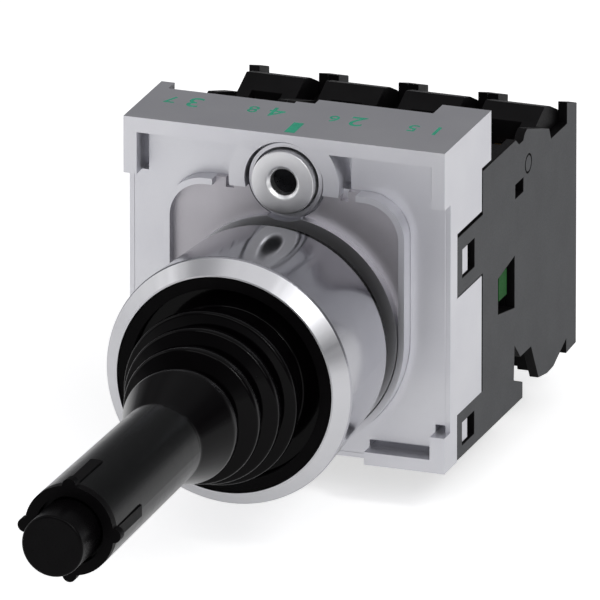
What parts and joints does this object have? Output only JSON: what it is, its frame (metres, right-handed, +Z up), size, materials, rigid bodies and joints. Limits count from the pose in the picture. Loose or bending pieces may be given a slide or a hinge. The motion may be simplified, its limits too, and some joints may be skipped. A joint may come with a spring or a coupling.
{
  "type": "industrial joystick",
  "caption": "Panel-mount joystick: lever with rubber boot and release button in a chromed bezel, metal holder and contact modules behind the panel.",
  "frame": {"origin": "on the lever axis, in the plane where the holder meets the back of the panel", "axes": "+X to the right and +Z up as seen by the operator, +Y into the panel; the lever points to -Y at rest"},
  "size_m": [0.04, 0.1251, 0.0398],
  "materials": {
    "chromed_metal": "polished chrome, brushed bevel",
    "black_rubber": "matt black rubber",
    "black_plastic": "moulded black plastic",
    "gloss_black_plastic": "gloss black plastic",
    "die_cast_zinc": "satin light grey die casting",
    "dark_grey_plastic": "matt dark grey plastic",
    "steel": "bright steel",
    "brass": "brass",
    "green_plastic": "green plastic",
    "white_plastic": "natural white plastic"
  },
  "bodies": {
    "base": {"bezel_ring": "chromed_metal", "boot_clamp_ring": "black_plastic", "rubber_boot": "black_rubber", "front_gasket": "black_rubber", "head_body": "black_plastic", "guide_disc": "white_plastic", "spring_seat": "steel", "return_spring": "steel", "holder": "die_cast_zinc", "module_housing_1": "dark_grey_plastic", "module_housing_2": "dark_grey_plastic", "module_housing_3": "dark_grey_plastic", "module_housing_4": "dark_grey_plastic", "module_insert_1": "black_plastic", "module_insert_2": "black_plastic", "module_insert_3": "black_plastic", "module_insert_4": "black_plastic", "fixed_contacts_1": "brass", "fixed_contacts_2": "brass", "fixed_contacts_3": "brass", "fixed_contacts_4": "brass", "terminal_screws_1": "steel", "terminal_screws_2": "steel", "terminal_screws_3": "steel", "terminal_screws_4": "steel", "plunger_spring_1": "steel", "plunger_spring_2": "steel", "plunger_spring_3": "steel", "plunger_spring_4": "steel"},
    "gimbal": {"gimbal_ring": "die_cast_zinc", "gimbal_pins": "steel"},
    "lever": {"stem": "steel", "stem_hub": "black_plastic", "hub_pins": "steel", "actuator_plate": "steel", "spring_collar": "steel", "grip": "gloss_black_plastic", "end_ring": "gloss_black_plastic", "release_spring": "steel"},
    "release_button": {"release_cap": "gloss_black_plastic", "release_rod": "steel"},
    "clamp_foot": {"clamp_foot": "die_cast_zinc"},
    "clamp_screw": {"clamp_screw": "steel"},
    "channel_1": {"transfer_slider_1": "white_plastic", "plunger_1": "green_plastic", "contact_bridge_1": "brass"},
    "channel_2": {"transfer_slider_2": "white_plastic", "plunger_2": "green_plastic", "contact_bridge_2": "brass"},
    "channel_3": {"transfer_slider_3": "white_plastic", "plunger_3": "green_plastic", "contact_bridge_3": "brass"},
    "channel_4": {"transfer_slider_4": "white_plastic", "plunger_4": "green_plastic", "contact_bridge_4": "brass"}
  },
  "joints": [
    {"name": "tilt_up_down", "type": "hinge", "parent": "base", "child": "gimbal", "pos_m": [0, -0.009, 0], "axis": [1, 0, 0], "range_deg": [-12, 12], "stiffness_Nm_per_rad": 0.8, "deforming": ["rubber_boot", "return_spring"]},
    {"name": "tilt_left_right", "type": "hinge", "parent": "gimbal", "child": "lever", "pos_m": [0, -0.009, 0], "axis": [0, 0, 1], "range_deg": [-12, 12], "stiffness_Nm_per_rad": 0.8, "deforming": ["rubber_boot", "return_spring"]},
    {"name": "release_press", "type": "slide", "parent": "lever", "child": "release_button", "axis": [0, 1, 0], "range_m": [0, 0.004], "stiffness_N_per_m": 400, "springref_m": -0.003, "deforming": ["release_spring"]},
    {"name": "clamp_foot_slide", "type": "slide", "parent": "base", "child": "clamp_foot", "axis": [0, -1, 0], "range_m": [0, 0.0014]},
    {"name": "clamp_screw_turn", "type": "hinge", "parent": "clamp_foot", "child": "clamp_screw", "pos_m": [0, 0.006, 0.0183], "axis": [0, 1, 0], "range_deg": [0, 722]},
    {"name": "channel_slide_1", "type": "slide", "parent": "base", "child": "channel_1", "axis": [0, 1, 0], "range_m": [-0.0015, 0.0015], "deforming": ["plunger_spring_1"]},
    {"name": "channel_slide_2", "type": "slide", "parent": "base", "child": "channel_2", "axis": [0, 1, 0], "range_m": [-0.0015, 0.0015], "deforming": ["plunger_spring_2"]},
    {"name": "channel_slide_3", "type": "slide", "parent": "base", "child": "channel_3", "axis": [0, 1, 0], "range_m": [-0.0015, 0.0015], "deforming": ["plunger_spring_3"]},
    {"name": "channel_slide_4", "type": "slide", "parent": "base", "child": "channel_4", "axis": [0, 1, 0], "range_m": [-0.0015, 0.0015], "deforming": ["plunger_spring_4"]}
  ],
  "couplings": [
    {"joint": "clamp_screw_turn", "follows": "clamp_foot_slide", "rad_per_m": 8976},
    {"joint": "channel_slide_1", "follows": "tilt_left_right", "m_per_rad": -0.007},
    {"joint": "channel_slide_2", "follows": "tilt_up_down", "m_per_rad": 0.0063},
    {"joint": "channel_slide_3", "follows": "tilt_up_down", "m_per_rad": -0.0063},
    {"joint": "channel_slide_4", "follows": "tilt_left_right", "m_per_rad": 0.007}
  ]
}
